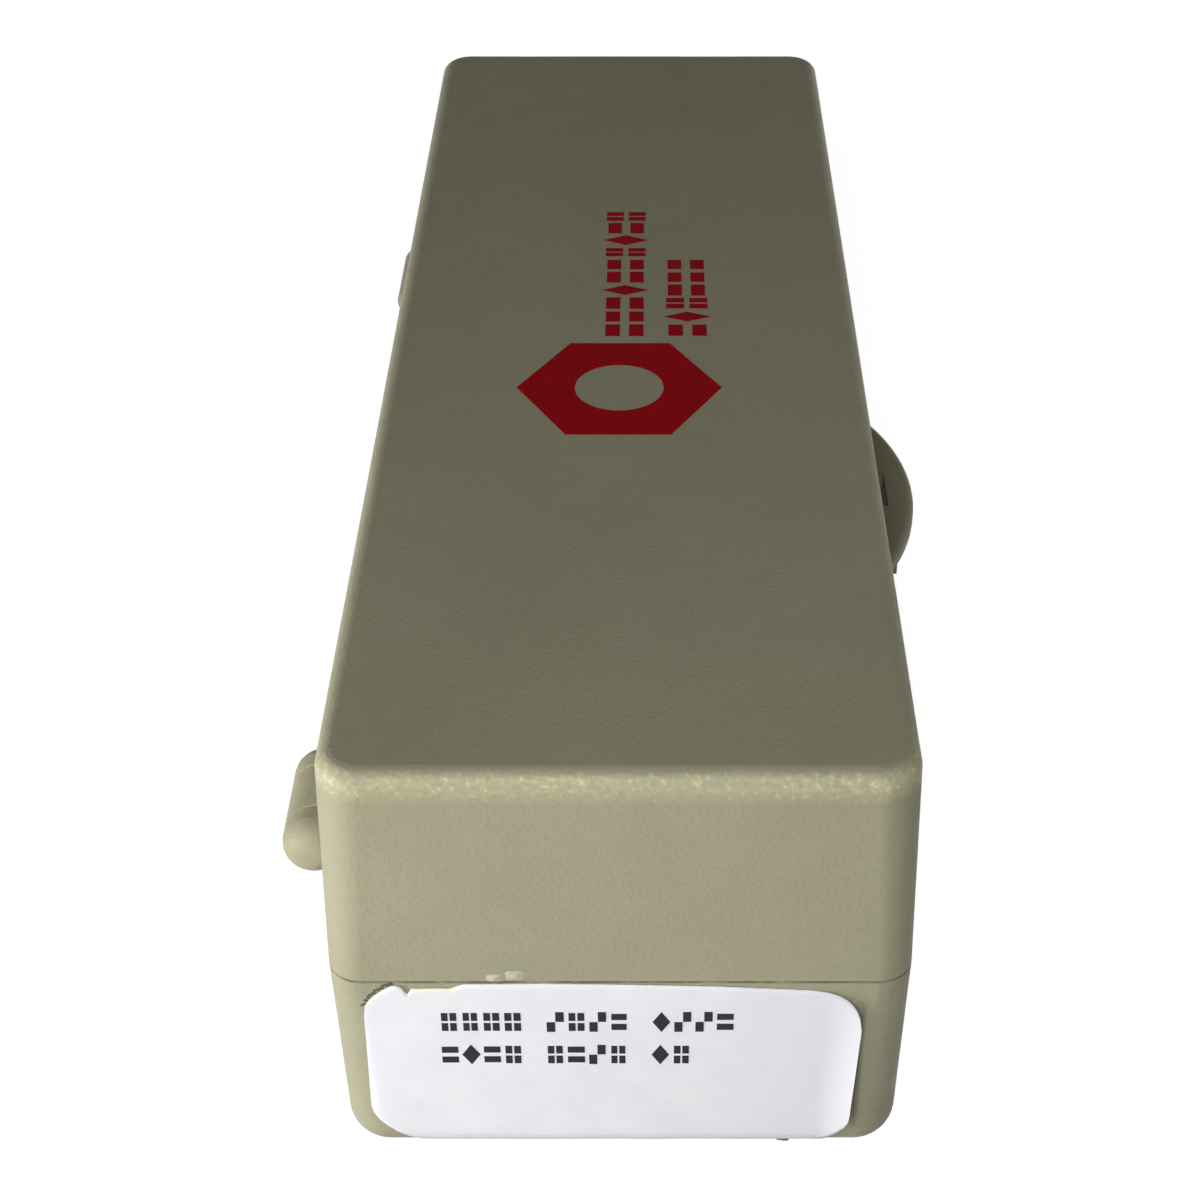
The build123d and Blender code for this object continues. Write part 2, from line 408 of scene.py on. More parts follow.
# One inside the case, further than the skin from its leaning walls, their rounded corners, its top and its floor
def insideCase(tree, axes, p):
    high = math2(tree, "MAXIMUM", minus(tree, axes["Z"], parting), 0.0)
    lean = times(tree, high, p["leaning"])
    square = 0.0
    for axis, half in (("X", halfWidth), ("Y", halfLength)):
        past = minus(tree, math2(tree, "ABSOLUTE", axes[axis]), half - p["corner"])
        past = math2(tree, "MAXIMUM", math2(tree, "ADD", past, lean), 0.0)
        square = math2(tree, "ADD", square, times(tree, past, past))
    walls = math2(tree, "LESS_THAN", square, (p["corner"] - p["skin"]) ** 2)
    roof = math2(tree, "LESS_THAN", axes["Z"], lidTop - p["skin"])
    return times(tree, walls, roof, math2(tree, "GREATER_THAN", axes["Z"], p["skin"]))


# One on the lid's upper rim, between its top and its sides; less on the long sides
def lidRim(tree, axes, p):
    normal = tree.nodes.new("ShaderNodeTexCoord").outputs["Normal"]
    near = remap(tree, axes["Z"], *(lidTop - reach for reach in p["rimHeight"]))
    ends = (halfLength - reach for reach in p["rimFromEnd"])
    end = remap(tree, math2(tree, "ABSOLUTE", axes["Y"]), *ends, p["rimOnSides"], 1.0)
    return times(tree, near, end, remap(tree, splitAxes(tree, normal)["Z"], *p["rimTilt"], 1.0, 0.0))


# Painted shadow: one in the strip of plastic beside the label's lifted right edge, which widens downwards
def paintedShadowBesideLabel(tree, axes, p):
    (edgeX, edgeSlope), (stripWidth, widening) = p["liftLine"], p["liftWidth"]
    below = minus(tree, parting, axes["Z"])
    past = minus(tree, axes["X"], minus(tree, edgeX, times(tree, below, edgeSlope)))
    wide = math2(tree, "ADD", times(tree, below, widening), stripWidth)
    strip = math2(tree, "DIVIDE", minus(tree, wide, past), p["liftSoftness"], clamp=True)
    notBehind = math2(tree, "GREATER_THAN", past, -p["liftBehind"])
    onFront = math2(tree, "LESS_THAN", axes["Y"], p["frontDepth"] - halfLength)
    top, foot = remap(tree, below, *p["liftTop"]), remap(tree, below, *p["liftFoot"], 1.0, 0.0)
    return times(tree, strip, notBehind, top, foot, onFront)


# One in the dirty seam between the halves, unevenly, and not on the hinges and the tab
def inSeam(tree, axes, patchy, p):
    fromSeam = math2(tree, "ABSOLUTE", minus(tree, axes["Z"], parting))
    onWalls = math2(tree, "LESS_THAN", math2(tree, "ABSOLUTE", axes["X"]), halfWidth + p["seamPastWall"])
    uneven = remap(tree, patchy, *p["seamPatches"], *p["seamWeight"])
    return times(tree, remap(tree, fromSeam, *p["seamWidth"], 1.0, 0.0), uneven, onWalls)


def makeCasePlastic(p):
    mat, tree, shader = newMaterial("casePlastic")
    place = objectPlace(tree)
    axes = splitAxes(tree, place)
    inside = insideCase(tree, axes, p)
    outside = minus(tree, 1.0, inside)
    grain = useEffect(tree, "grain", {"Vector": place, "Pebbles per Metre": p["pebblesPerMetre"]})
    broad = cloudTone(tree, place, *p["broadClouds"])
    patchy = cloudTone(tree, place, *p["patchyClouds"])
    tone = math2(tree, "ADD", times(tree, broad, 1 - p["patchyShare"]), times(tree, patchy, p["patchyShare"]))
    rim = times(tree, lidRim(tree, axes, p), outside)
    speck = fineLines(tree, place, p["specksPerMetre"])
    seam = times(tree, inSeam(tree, axes, patchy, p), outside)
    # dirt in the seam, and painted shadow beside the label's lifted edge, share one dark colour
    dirtAndShadow = math2(tree, "MAXIMUM", seam, times(tree, paintedShadowBesideLabel(tree, axes, p), p["liftShadowPaint"]))
    layers = (
        # grain creases painted darker: painted shade in the grooves
        (times(tree, grain["Crease"], outside, p["creaseWeight"]), p["crease"]),
        (times(tree, useEffect(tree, "edge")["Edge"], patchy, p["rubWeight"]), p["rubbedAndSheen"]),
        # the rim's band: partly rubbed grain tops, partly painted highlight; then pale specks painted as glints
        (times(tree, rim, remap(tree, speck, *p["rubAndSheenSpecks"], *p["rubAndSheenWeight"])), p["rubbedAndSheen"]),
        (times(tree, rim, remap(tree, speck, *p["glintSpecks"]), p["glintWeight"]), p["glint"]),
        (dirtAndShadow, p["seamDirtAndShadow"]),
    )
    colour = mixColour(tree, tone, p["deep"], p["pale"])
    for weight, layer in layers:
        colour = mixColour(tree, weight, colour, layer)
    tree.links.new(colour, shader.inputs["Base Color"])
    rough = remap(tree, patchy, 0, 1, *p["roughness"])
    polish = times(tree, rim, minus(tree, rough, p["polished"]))
    tree.links.new(minus(tree, rough, polish), shader.inputs["Roughness"])
    shader.inputs["Specular IOR Level"].default_value = p["shine"]
    depth = times(tree, grain["Height"], remap(tree, inside, 0, 1, 1.0, p["grainInside"]))
    addBump(tree, shader, depth, p["grainStrength"], p["grainDepth"])
    return mat


# Pad-printed ink lies on the grain and follows it; its red is painted darker in the grain's creases, as painted
# shade, and in random patches
redInk = {
    "full": (0.42, 0.003, 0.008),
    "darkened": (0.31, 0.004, 0.008),
    "darkenedWeight": 0.4,
    "darkPatchClouds": (300, 3.0),
    "grainStrength": 0.25,
    "roughness": 0.5,
    "shine": 0.03,
}


def makeRedInk(p, plasticLook):
    mat, tree, shader = newMaterial("redInk")
    place = objectPlace(tree)
    grain = useEffect(tree, "grain", {"Vector": place, "Pebbles per Metre": plasticLook["pebblesPerMetre"]})
    # the grain's creases, where the red is painted darker as shade, and random patches
    worn = math2(tree, "ADD", grain["Crease"], cloudTone(tree, place, *p["darkPatchClouds"]))
    darkened = math2(tree, "MULTIPLY", worn, p["darkenedWeight"], clamp=True)
    tree.links.new(mixColour(tree, darkened, p["full"], p["darkened"]), shader.inputs["Base Color"])
    shader.inputs["Roughness"].default_value = p["roughness"]
    shader.inputs["Specular IOR Level"].default_value = p["shine"]
    addBump(tree, shader, grain["Height"], p["grainStrength"], plasticLook["grainDepth"])
    return mat


# White sticker paper: fine fibres, grey clouds, painted shade that greys it towards the right, and a cream ply where
# the face has torn off
labelPaper = {
    "white": (0.86, 0.86, 0.885),
    "greyed": (0.78, 0.78, 0.815),
    "greying": (6 * mm, 22 * mm),
    "tornPly": (0.84, 0.82, 0.71),
    "fibresPerMetre": 5200,
    "tornLeft": -20.8 * mm,
    "tornRight": -16.0 * mm,
    "tornDepth": 1.25 * mm,
    "tornRagged": 0.9 * mm,
    "paintedLightAtRight": 0.15,
    "clouds": (160, 2.0),
    "roughness": (0.55, 0.75),
    "fibreStrength": 0.25,
    "fibreDepth": 0.02 * mm,
}


def makeLabelPaper(p):
    mat, tree, shader = newMaterial("labelPaper")
    sheet = tree.nodes.new("ShaderNodeUVMap")
    sheet.uv_map = "sheet"
    place = sheet.outputs["UV"]
    cloud = cloudTone(tree, place, *p["clouds"])
    fibre = fineLines(tree, place, p["fibresPerMetre"])
    axes = splitAxes(tree, place)
    # painted shade: the paper is whiter at the left and greyer towards the right
    paintedLightShare = remap(tree, axes["X"], *p["greying"], 1.0, p["paintedLightAtRight"])
    colour = mixColour(tree, times(tree, cloud, paintedLightShare), p["greyed"], p["white"])
    ragged = times(tree, minus(tree, fibre, 0.5), p["tornRagged"])
    along, below = (math2(tree, "ADD", axes[axis], ragged) for axis in ("X", "Y"))
    torn = times(
        tree, math2(tree, "GREATER_THAN", along, p["tornLeft"]), math2(tree, "LESS_THAN", along, p["tornRight"]),
        math2(tree, "GREATER_THAN", below, -p["tornDepth"]),
    )
    tree.links.new(mixColour(tree, torn, colour, p["tornPly"]), shader.inputs["Base Color"])
    tree.links.new(remap(tree, fibre, 0, 1, *p["roughness"]), shader.inputs["Roughness"])
    addBump(tree, shader, fibre, p["fibreStrength"], p["fibreDepth"])
    return mat


printInk = {
    "black": (0.008, 0.008, 0.011),
    "grey": (0.028, 0.028, 0.033),
    "specksPerMetre": 6000,
    "roughness": (0.5, 0.75),
    "shine": 0.2,
}


def makePrintInk(p):
    mat, tree, shader = newMaterial("printInk")
    speck = fineLines(tree, objectPlace(tree), p["specksPerMetre"])
    tree.links.new(mixColour(tree, speck, p["black"], p["grey"]), shader.inputs["Base Color"])
    tree.links.new(remap(tree, speck, 0, 1, *p["roughness"]), shader.inputs["Roughness"])
    shader.inputs["Specular IOR Level"].default_value = p["shine"]
    return mat


# Open-cell foam: pores painted dark as painted shade in the holes, between pale struts
foamLook = {
    "strut": (0.052, 0.052, 0.058),
    "pore": (0.008, 0.008, 0.009),
    "poresPerMetre": 1500,
    "tinyPores": 2.3,
    "tinyShare": 0.3,
    "poreEdges": (0.15, 0.2),
    "poreFull": 0.7,
    "clouds": (90, 1.2),
    "cloudWeight": (0.8, 1.15),
    "roughness": 0.95,
    "sheen": (0.25, 0.6),
    "bumpStrength": 0.8,
    "bumpDepth": 0.35 * mm,
}


def makeFoam(p):
    mat, tree, shader = newMaterial("charcoalFoam")
    place = objectPlace(tree)
    walls = []
    for perMetre, edge in zip((p["poresPerMetre"], p["poresPerMetre"] * p["tinyPores"]), p["poreEdges"]):
        pores = addNode(tree, "ShaderNodeTexVoronoi", {"Vector": place, "Scale": perMetre}, feature="F1")
        walls.append(remap(tree, pores.outputs["Distance"], edge, p["poreFull"]))
    wall = math2(tree, "ADD", times(tree, walls[0], 1 - p["tinyShare"]), times(tree, walls[1], p["tinyShare"]))
    cloud = remap(tree, cloudTone(tree, place, *p["clouds"]), 0, 1, *p["cloudWeight"])
    pale = math2(tree, "MULTIPLY", wall, cloud, clamp=True)
    # the dark pores are painted shade
    tree.links.new(mixColour(tree, pale, p["pore"], p["strut"]), shader.inputs["Base Color"])
    shader.inputs["Roughness"].default_value = p["roughness"]
    shader.inputs["Sheen Weight"].default_value, shader.inputs["Sheen Roughness"].default_value = p["sheen"]
    addBump(tree, shader, wall, p["bumpStrength"], p["bumpDepth"])
    return mat


# Bare metals share their tool lines and clouds, and differ in tone, in roughness and in the way the lines run
metalSurface = {"linesPerMetre": 5000, "lineRange": (0.3, 0.7), "clouds": (250, 1.6), "shade": 0.82, "strength": 0.3}
metals = {
    "pinSteel": {"tone": (0.56, 0.555, 0.55), "rough": (0.24, 0.4), "stretch": (1, 0.04, 1), "depth": 0.004},
    "nutSteel": {"tone": (0.47, 0.47, 0.475), "rough": (0.26, 0.42), "stretch": (0.05, 1, 0.05), "depth": 0.006},
    "gaugeSteel": {"tone": (0.72, 0.72, 0.73), "rough": (0.07, 0.16), "stretch": (0.05, 1, 0.05), "depth": 0.001},
}


def makeMetal(name, p, surface):
    mat, tree, shader = newMaterial(name)
    place = objectPlace(tree)
    stretched = addNode(tree, "ShaderNodeMapping", {"Vector": place, "Scale": p["stretch"]}).outputs[0]
    lines = fineLines(tree, stretched, surface["linesPerMetre"])
    cloud = cloudTone(tree, place, *surface["clouds"])
    shade = tuple(surface["shade"] * c for c in p["tone"])
    tree.links.new(mixColour(tree, cloud, shade, p["tone"]), shader.inputs["Base Color"])
    tree.links.new(remap(tree, lines, *surface["lineRange"], *p["rough"]), shader.inputs["Roughness"])
    shader.inputs["Metallic"].default_value = 1.0
    addBump(tree, shader, lines, surface["strength"], p["depth"] * mm)
    return mat


# Satin anodised bar with a green band at its gauging end
handleLook = {
    "metal": (0.62, 0.62, 0.635),
    "paint": (0.012, 0.17, 0.05),
    "bandStart": 5.0 * mm,
    "bandWidth": 5.0 * mm,
    "spigot": 7.0 * mm,
    "edgeRub": {"Radius": 0.0004, "Reach": 0.1},
    "bare": 0.42,
    "linesPerMetre": 3500,
    "lineStretch": (1, 0.03, 1),
    "lineRange": (0.3, 0.7),
    "roughness": (0.34, 0.5),
    "bumpStrength": 0.25,
    "bumpDepth": 0.004 * mm,
}


def makeHandleMetal(p):
    mat, tree, shader = newMaterial("handleAluminium")
    place = objectPlace(tree)
    stretched = addNode(tree, "ShaderNodeMapping", {"Vector": place, "Scale": p["lineStretch"]}).outputs[0]
    lines = fineLines(tree, stretched, p["linesPerMetre"])
    along = splitAxes(tree, place)["Y"]
    start = handleStart + p["spigot"] + p["bandStart"]
    rub = useEffect(tree, "edge", p["edgeRub"])["Edge"]
    worn = math2(tree, "GREATER_THAN", times(tree, rub, lines), p["bare"])
    paint = times(
        tree, math2(tree, "GREATER_THAN", along, start), math2(tree, "LESS_THAN", along, start + p["bandWidth"]),
        minus(tree, 1.0, worn),
    )
    tree.links.new(mixColour(tree, paint, p["metal"], p["paint"]), shader.inputs["Base Color"])
    tree.links.new(minus(tree, 1.0, paint), shader.inputs["Metallic"])
    tree.links.new(remap(tree, lines, *p["lineRange"], *p["roughness"]), shader.inputs["Roughness"])
    addBump(tree, shader, lines, p["bumpStrength"], p["bumpDepth"])
    return mat


plasticMat = makeCasePlastic(casePlastic)
redMat = makeRedInk(redInk, casePlastic)
paperMat = makeLabelPaper(labelPaper)
inkMat = makePrintInk(printInk)
foamMat = makeFoam(foamLook)
handleMat = makeHandleMetal(handleLook)
metalMats = {name: makeMetal(name, look, metalSurface) for name, look in metals.items()}


def dress(mat, *names):
    for name in names:
        nodes[name].data.materials.clear()
        nodes[name].data.materials.append(mat)


dress(plasticMat, "base_shell", "lid_shell")
dress(handleMat, "gauge_handle")
dress(metalMats["pinSteel"], "front_hinge_pin", "rear_hinge_pin", "go_collet", "blank_collet")
dress(metalMats["nutSteel"], "go_nut", "blank_nut")
dress(metalMats["gaugeSteel"], "go_pin")
print("materials ready")


# A piece made of a mesh in its final place
def addPiece(name, mesh, mat, body, smooth=True):
    piece = addObject(name, mesh)
    mesh.materials.clear()
    mesh.materials.append(mat)
    for face in mesh.polygons:
        face.use_smooth = smooth
    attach(piece, body)
    return piece


# The plain mesh that an object's modifiers give; the object itself is deleted
def bakeMesh(obj):
    bpy.context.view_layer.update()
    graph = bpy.context.evaluated_depsgraph_get()
    mesh = bpy.data.meshes.new_from_object(obj.evaluated_get(graph))
    bpy.data.objects.remove(obj)
    return mesh


# Runs a geometry tree with values for its named inputs and gives the plain mesh
def runTree(tree, values):
    holder = addObject("holder", bpy.data.meshes.new("holder"))
    modifier = holder.modifiers.new("tree", "NODES")
    modifier.node_group = tree
    sockets = {s.name: s.identifier for s in tree.interface.items_tree if s.in_out == "INPUT"}
    for key, value in values.items():
        modifier[sockets[key]] = value
    return bakeMesh(holder)


# A geometry tree with named inputs, given as name: (socket kind, default value)
def newTree(name, inputs):
    tree = bpy.data.node_groups.new(name, "GeometryNodeTree")
    for label, (kind, default) in inputs.items():
        socket = tree.interface.new_socket(label, in_out="INPUT", socket_type="NodeSocket" + kind)
        if default is not None:
            socket.default_value = default
    tree.interface.new_socket("Geometry", in_out="OUTPUT", socket_type="NodeSocketGeometry")
    return tree, tree.nodes.new("NodeGroupInput").outputs, tree.nodes.new("NodeGroupOutput").inputs


def joinAll(tree, *pieces):
    node = tree.nodes.new("GeometryNodeJoinGeometry")
    for piece in pieces:
        tree.links.new(piece, node.inputs[0])
    return node.outputs[0]


# A flat face given a thickness and closed underneath
def thicken(tree, face, thickness):
    raised = addNode(tree, "GeometryNodeExtrudeMesh", {"Mesh": face, "Offset Scale": thickness, "Individual": False})
    under = addNode(tree, "GeometryNodeFlipFaces", {"Mesh": face})
    closed = joinAll(tree, raised.outputs["Mesh"], under.outputs[0])
    return addNode(tree, "GeometryNodeMergeByDistance", {"Geometry": closed, "Distance": sameSpot}).outputs[0]


def vector(tree, x=0.0, y=0.0, z=0.0):
    return addNode(tree, "ShaderNodeCombineXYZ", {"X": x, "Y": y, "Z": z}).outputs[0]


# A line of print shown as letter-sized plain shapes: diamonds, paired bars, paired squares and groups of four dots.
# Sizes are shares of a letter, and of a stroke for the bars
markForm = {"quarter": 0.25, "square": 0.48, "dot": 0.39, "bar": 2.1, "widths": (0.8, 1.0)}


def makeBlockRowTree(p):
    tree, given, out = newTree("blockRow", {
        "Letters": ("Int", 10), "Pitch": ("Float", 0.002), "Letter Width": ("Float", 0.0015),
        "Letter Height": ("Float", 0.0024), "Stroke": ("Float", 0.0003), "Word Length": ("Int", 5),
        "Thickness": ("Float", 0.00004), "Seed": ("Int", 3), "Ink": ("Material", None),
    })
    line = addNode(tree, "GeometryNodeMeshLine", {"Count": given["Letters"], "Offset": vector(tree, given["Pitch"])})
    index = tree.nodes.new("GeometryNodeInputIndex").outputs[0]
    turn = math2(tree, "MODULO", index, given["Word Length"])
    isGap = math2(tree, "GREATER_THAN", turn, minus(tree, given["Word Length"], 1.5))
    points = addNode(tree, "GeometryNodeDeleteGeometry", {"Geometry": line.outputs[0], "Selection": isGap})

    wide, high, stroke = given["Letter Width"], given["Letter Height"], given["Stroke"]
    quarters = (p["quarter"], -p["quarter"])
    quarterX, quarterY = ([times(tree, side, share) for share in quarters] for side in (wide, high))

    def box(width, height):
        return addNode(
            tree, "GeometryNodeCurvePrimitiveQuadrilateral", {"Width": width, "Height": height}
        ).outputs[0]

    def letterShare(share):
        return times(tree, wide, share), times(tree, high, share)

    def place(curve, x=0.0, y=0.0, scale=(1.0, 1.0)):
        return addNode(tree, "GeometryNodeTransform", {
            "Geometry": curve, "Translation": vector(tree, x, y), "Scale": vector(tree, *scale, 1.0),
        }).outputs[0]

    fourSided = addNode(tree, "GeometryNodeCurvePrimitiveCircle", {"Resolution": 4, "Radius": 1.0}).outputs[0]
    diamond = place(fourSided, scale=letterShare(0.5))
    bar = box(wide, times(tree, stroke, p["bar"]))
    square, dot = (box(*letterShare(p[mark])) for mark in ("square", "dot"))
    marks = (
        [diamond],
        [place(bar, y=y) for y in quarterY],
        [place(square, x, y) for x, y in zip(quarterX, quarterY)],
        [place(dot, x, y) for x in quarterX for y in quarterY],
    )
    shapes = []
    for loops in marks:
        face = addNode(tree, "GeometryNodeFillCurve", {"Curve": joinAll(tree, *loops)}).outputs[0]
        plate = thicken(tree, face, given["Thickness"])
        shapes.append(addNode(tree, "GeometryNodeGeometryToInstance", {0: plate}).outputs[0])
    narrow, full = p["widths"]
    pick = addNode(
        tree, "FunctionNodeRandomValue", {"Min": narrow, "Max": full, "Seed": given["Seed"]}, data_type="FLOAT"
    )
    widths = next(s for s in pick.outputs if s.enabled)
    kind = addNode(tree, "FunctionNodeRandomValue", {"Seed": given["Seed"]}, data_type="INT")
    ends = [s for s in kind.inputs if s.enabled and s.name in ("Min", "Max")]
    ends[0].default_value, ends[1].default_value = 0, len(marks) - 1
    kinds = next(s for s in kind.outputs if s.enabled)
    placed = addNode(tree, "GeometryNodeInstanceOnPoints", {
        "Points": points.outputs[0], "Instance": joinAll(tree, *shapes), "Pick Instance": True,
        "Instance Index": kinds, "Scale": vector(tree, widths, 1.0, 1.0),
    })
    solid = tree.nodes.new("GeometryNodeRealizeInstances")
    tree.links.new(placed.outputs[0], solid.inputs[0])
    inked = addNode(tree, "GeometryNodeSetMaterial", {"Geometry": solid.outputs[0], "Material": given["Ink"]})
    tree.links.new(inked.outputs[0], out["Geometry"])
    return tree


blockRow = makeBlockRowTree(markForm)


# One row of print in a piece's letter sizes
def printRow(p, letters, wordLength, thickness, seed, ink):
    return runTree(blockRow, {
        "Letters": letters, "Pitch": p["pitch"], "Letter Width": p["letterWidth"],
        "Letter Height": p["letterHeight"], "Stroke": p["stroke"], "Word Length": wordLength,
        "Thickness": thickness, "Seed": seed, "Ink": ink,
    })


# Print on the lid: a hexagon with a round hole, and two rows of marks that run along the case; places along it
# are measured from its front end
lidPrint = {
    "sunk": 0.02 * mm,
    "proud": 0.03 * mm,
    "hexPlace": (-0.6 * mm, 70 * mm),
    "hexRadius": 12.0 * mm,
    "holeRadius": 5.2 * mm,
    "ringPoints": 48,
    "rowX": (-0.1 * mm, 7.6 * mm),
    "rowStart": 83.6 * mm,
    "rowLetters": (10, 6),
    "rowSeeds": (4, 9),
    "pitch": 3.42 * mm,
    "letterWidth": 3.05 * mm,
    "letterHeight": 5.8 * mm,
    "stroke": 0.85 * mm,
}


def makeLidPrint(p):
    frontY, low, thickness = -halfLength, lidTop - p["sunk"], p["sunk"] + p["proud"]
    centre = Vector((p["hexPlace"][0], frontY + p["hexPlace"][1]))
    shape = bmesh.new()
    inner, outer = [], []
    for i in range(p["ringPoints"]):
        angle = 2 * math.pi * i / p["ringPoints"]
        fromFlat = (angle % (math.pi / 3)) - math.pi / 6
        reach = p["hexRadius"] * math.cos(math.pi / 6) / math.cos(fromFlat)
        way = Vector((math.cos(angle), math.sin(angle)))
        inner.append(shape.verts.new((*(centre + p["holeRadius"] * way), low)))
        outer.append(shape.verts.new((*(centre + reach * way), low)))
    for i in range(p["ringPoints"]):
        j = (i + 1) % p["ringPoints"]
        shape.faces.new((inner[i], outer[i], outer[j], inner[j]))
    raised = bmesh.ops.extrude_face_region(shape, geom=shape.faces[:], use_keep_orig=True)
    tops = [item for item in raised["geom"] if isinstance(item, bmesh.types.BMVert)]
    bmesh.ops.translate(shape, verts=tops, vec=(0, 0, thickness))
    bmesh.ops.recalc_face_normals(shape, faces=shape.faces[:])
    addPiece("lidMark", meshFrom(shape, "lidMark"), redMat, "lid", smooth=False)
    for i, (x, letters, seed) in enumerate(zip(p["rowX"], p["rowLetters"], p["rowSeeds"])):
        row = printRow(p, letters, letters + 1, thickness, seed, redMat)
        row.transform(Matrix.Translation((x, frontY + p["rowStart"], low)) @ Matrix.Rotation(math.pi / 2, 4, "Z"))
        addPiece(f"lidPrintRow{i + 1}", row, redMat, "lid", smooth=False)


makeLidPrint(lidPrint)
print("lid print ready")


# Label: a sheet stuck on the front end, torn along its top left and lifting at its right edge
label = {
    # Its upper and lower outline from left to right, as (x, millimetres below the seam)
    "upper": (
        (-25.5, 4.6), (-25.3, 3.2), (-25.0, 2.6), (-24.4, 1.8), (-23.4, 0.9), (-22.5, 0.33), (-22.1, 0.25),
        (-21.6, 0.48), (-21.3, 1.0), (-21.0, 1.45), (-20.8, 1.2), (-20.6, 0.74), (-18.7, 0.65), (-16.6, 0.7),
        (-16.1, 0.4), (-15.6, 0.12), (-7.9, 0.05), (3.9, 0.22), (10.6, 0.45), (16.8, 0.86), (19.0, 0.98),
        (20.5, 1.24), (21.6, 1.62), (22.4, 2.1), (23.0, 2.7), (23.5, 3.5), (23.85, 4.5), (24.05, 6.0),
    ),
    "lower": (
        (-25.8, 18.3), (-25.6, 19.4), (-25.0, 20.4), (-24.4, 21.1), (-23.4, 22.1), (-22.2, 23.0), (-21.0, 23.8),
        (-19.6, 24.4), (-17.8, 24.8), (-15.0, 24.9), (18.5, 24.9), (20.2, 24.4), (21.2, 23.4), (22.2, 22.2),
        (23.0, 21.0), (23.4, 20.0), (23.5, 19.0),
    ),
    "thickness": 0.13 * mm,
    "columns": 220,
    "rows": 36,
    "ragged": 0.05 * mm,
    "raggedPerMetre": 1500,
    "raggedSeed": 3,
    "wave": 0.05 * mm,
    "wavesPerMetre": 180,
    "lift": 1.2 * mm,
    "liftAtSeam": 0.3,
    "liftStart": 20.2 * mm,
    "liftWidth": 3.6 * mm,
}


def skinOf(node):
    mesh = nodes[node].data
    return BVHTree.FromPolygons([v.co for v in mesh.vertices], [f.vertices[:] for f in mesh.polygons])


skins = {"base": skinOf("base_shell"), "lid": skinOf("lid_shell")}


# Where the front skin of the base or the lid is, looking at it from the front
def frontSkin(x, z, half="base"):
    return skins[half].ray_cast(Vector((x, -2 * halfLength, z)), Vector((0, 1, 0)))[0].y


# Front face of the label at one point: stuck flat, with slight waves, free along its right edge
def labelFace(p, x, z):
    free = max(0.0, (x - p["liftStart"]) / p["liftWidth"])
    low = 1 - min(1.0, z / parting)
    lift = p["lift"] * free ** 2 * (p["liftAtSeam"] + (1 - p["liftAtSeam"]) * low)
    wave = p["wave"] * (1 + noise.noise(Vector((x, z, 0)) * p["wavesPerMetre"]))
    return frontSkin(x, z) - p["thickness"] - wave - lift


# The point a share of the way across an outline, in metres below the seam
def onOutline(points, share):
    x = points[0][0] + (points[-1][0] - points[0][0]) * share
    for (x0, below0), (x1, below1) in zip(points, points[1:]):
        if x <= x1 or (x1, below1) == points[-1]:
            part = (x - x0) / (x1 - x0)
            return x * mm, (below0 + (below1 - below0) * part) * mm


def makeLabel(p):
    shape = bmesh.new()
    sheet = shape.loops.layers.uv.new("sheet")
    grid = []
    for i in range(p["columns"] + 1):
        share = 0.5 - 0.5 * math.cos(math.pi * i / p["columns"])  # closer columns at the rounded ends
        column = []
        topX, top = onOutline(p["upper"], share)
        footX, foot = onOutline(p["lower"], share)
        top += p["ragged"] * (1 + noise.noise(Vector((topX * p["raggedPerMetre"], 0, p["raggedSeed"]))))
        for j in range(p["rows"] + 1):
            down = j / p["rows"]
            x, z = topX + (footX - topX) * down, parting - top - (foot - top) * down
            column.append((shape.verts.new((x, labelFace(p, x, z), z)), (x, z - parting)))
        grid.append(column)
    for i in range(p["columns"]):
        for j in range(p["rows"]):
            corners = (grid[i][j], grid[i][j + 1], grid[i + 1][j + 1], grid[i + 1][j])
            face = shape.faces.new([vert for vert, _ in corners])
            for loop, (_, uv) in zip(face.loops, corners):
                loop[sheet].uv = uv
    flat = addObject("flatLabel", meshFrom(shape, "paperLabel"))
    solidify = flat.modifiers.new("paper", "SOLIDIFY")
    solidify.thickness = p["thickness"]
    solidify.offset = -1
    piece = addPiece("paperLabel", bakeMesh(flat), paperMat, "base")
    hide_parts("size_label")


makeLabel(label)


# Two rows of marks printed on the label
labelPrint = {
    "thickness": 0.03 * mm,
    "letterHeight": 2.9 * mm,
    "letterWidth": 1.85 * mm,
    "stroke": 0.42 * mm,
    "pitch": 2.12 * mm,
    "rows": (
        {"start": -17.1 * mm, "below": 5.45 * mm, "letters": 15, "wordLength": 5, "seed": 11},
        {"start": -17.2 * mm, "below": 10.25 * mm, "letters": 12, "wordLength": 5, "seed": 5},
    ),
}


def makeLabelPrint(p):
    for i, row in enumerate(p["rows"]):
        mesh = printRow(p, row["letters"], row["wordLength"], p["thickness"], row["seed"], inkMat)
        for vert in mesh.vertices:
            x, z = row["start"] + vert.co.x, parting - row["below"] + vert.co.y
            vert.co = (x, labelFace(label, x, z) - vert.co.z, z)
        addPiece(f"labelPrintRow{i + 1}", mesh, inkMat, "base", smooth=False)


makeLabelPrint(labelPrint)


# Scraps: an irregular flat flake or crumb, thickest in its middle; a square one has nearly straight sides. The
# front's highest point is off the middle by a share of the size, the back bulges by a share of the thickness
flakeForm = {
    "corners": 14,
    "roundReach": (0.65, 1.0),
    "squareReach": (0.9, 1.0),
    "squareness": 0.9,
    "offMiddle": 0.1,
    "backBulge": 0.3,
}


